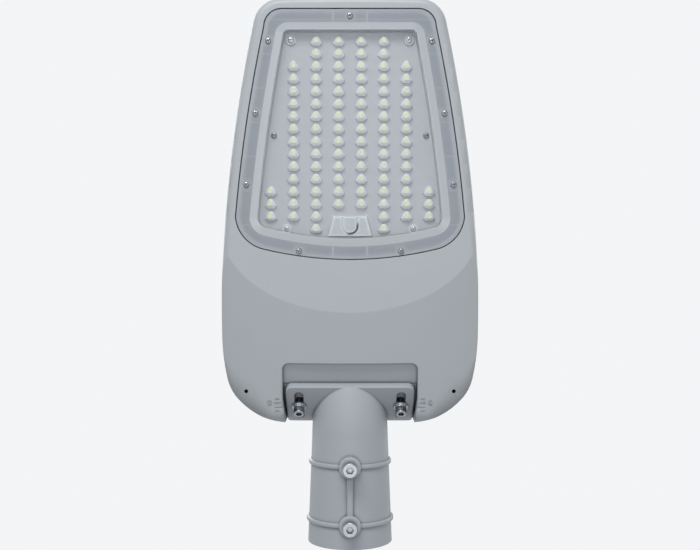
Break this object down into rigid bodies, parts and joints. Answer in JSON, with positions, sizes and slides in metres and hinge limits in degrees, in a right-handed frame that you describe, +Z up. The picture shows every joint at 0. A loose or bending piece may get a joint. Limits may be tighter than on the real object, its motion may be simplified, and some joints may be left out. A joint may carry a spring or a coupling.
{
  "type": "led street light head",
  "caption": "LED street light head with a finned cast housing, a clear cover over a lens array and a tilting slotted spigot for a pole top.",
  "frame": {"origin": "centre of the spigot's mouth on the pole axis", "axes": "+Y from the spigot's mouth to the head's nose, +Z up, light leaves towards -Z, +X completes the right-handed frame"},
  "size_m": [0.2312, 0.494, 0.1035],
  "materials": {
    "grey_paint": "fine satin powder coat",
    "seal_rubber": "matt",
    "steel": "stainless",
    "clear_cover": "clear moulded plastic",
    "lens_plastic": "clear lens plastic that looks white over the board",
    "board_white": "white solder mask",
    "chip_yellow": "phosphor",
    "pad_grey": "soft silicone",
    "driver_case": "satin",
    "block_white": "matt",
    "surge_case": "matt",
    "lead_black": "matt sheath",
    "clamp_black": "matt"
  },
  "bodies": {
    "spigot_body": {"spigot": "grey_paint", "pole_screws": "steel"},
    "head": {"housing": "grey_paint", "driver_cover": "grey_paint", "driver_cover_seal": "seal_rubber", "window_seal": "seal_rubber", "wire_grommet": "seal_rubber", "driver_cover_screws": "steel", "cover_screws": "steel", "lens_plate_screws": "steel", "device_screws": "steel", "earth_screw": "steel", "tilt_bolts": "steel", "tilt_saddles": "steel", "tilt_spring_washers": "steel", "window_cover": "clear_cover", "lens_plate": "lens_plastic", "led_board": "board_white", "led_chips": "chip_yellow", "heat_pad": "pad_grey", "driver": "driver_case", "terminal_block": "block_white", "surge_protector": "surge_case", "led_lead": "lead_black", "supply_lead": "lead_black", "cable_clamp": "clamp_black", "cable_gland": "clamp_black", "gland_locknut": "clamp_black", "breather": "clamp_black"}
  },
  "joints": [
    {"name": "tilt", "type": "hinge", "parent": "spigot_body", "child": "head", "pos_m": [0, 0.1825, 0.04], "axis": [1, 0, 0], "range_deg": [-15, 10]}
  ]
}
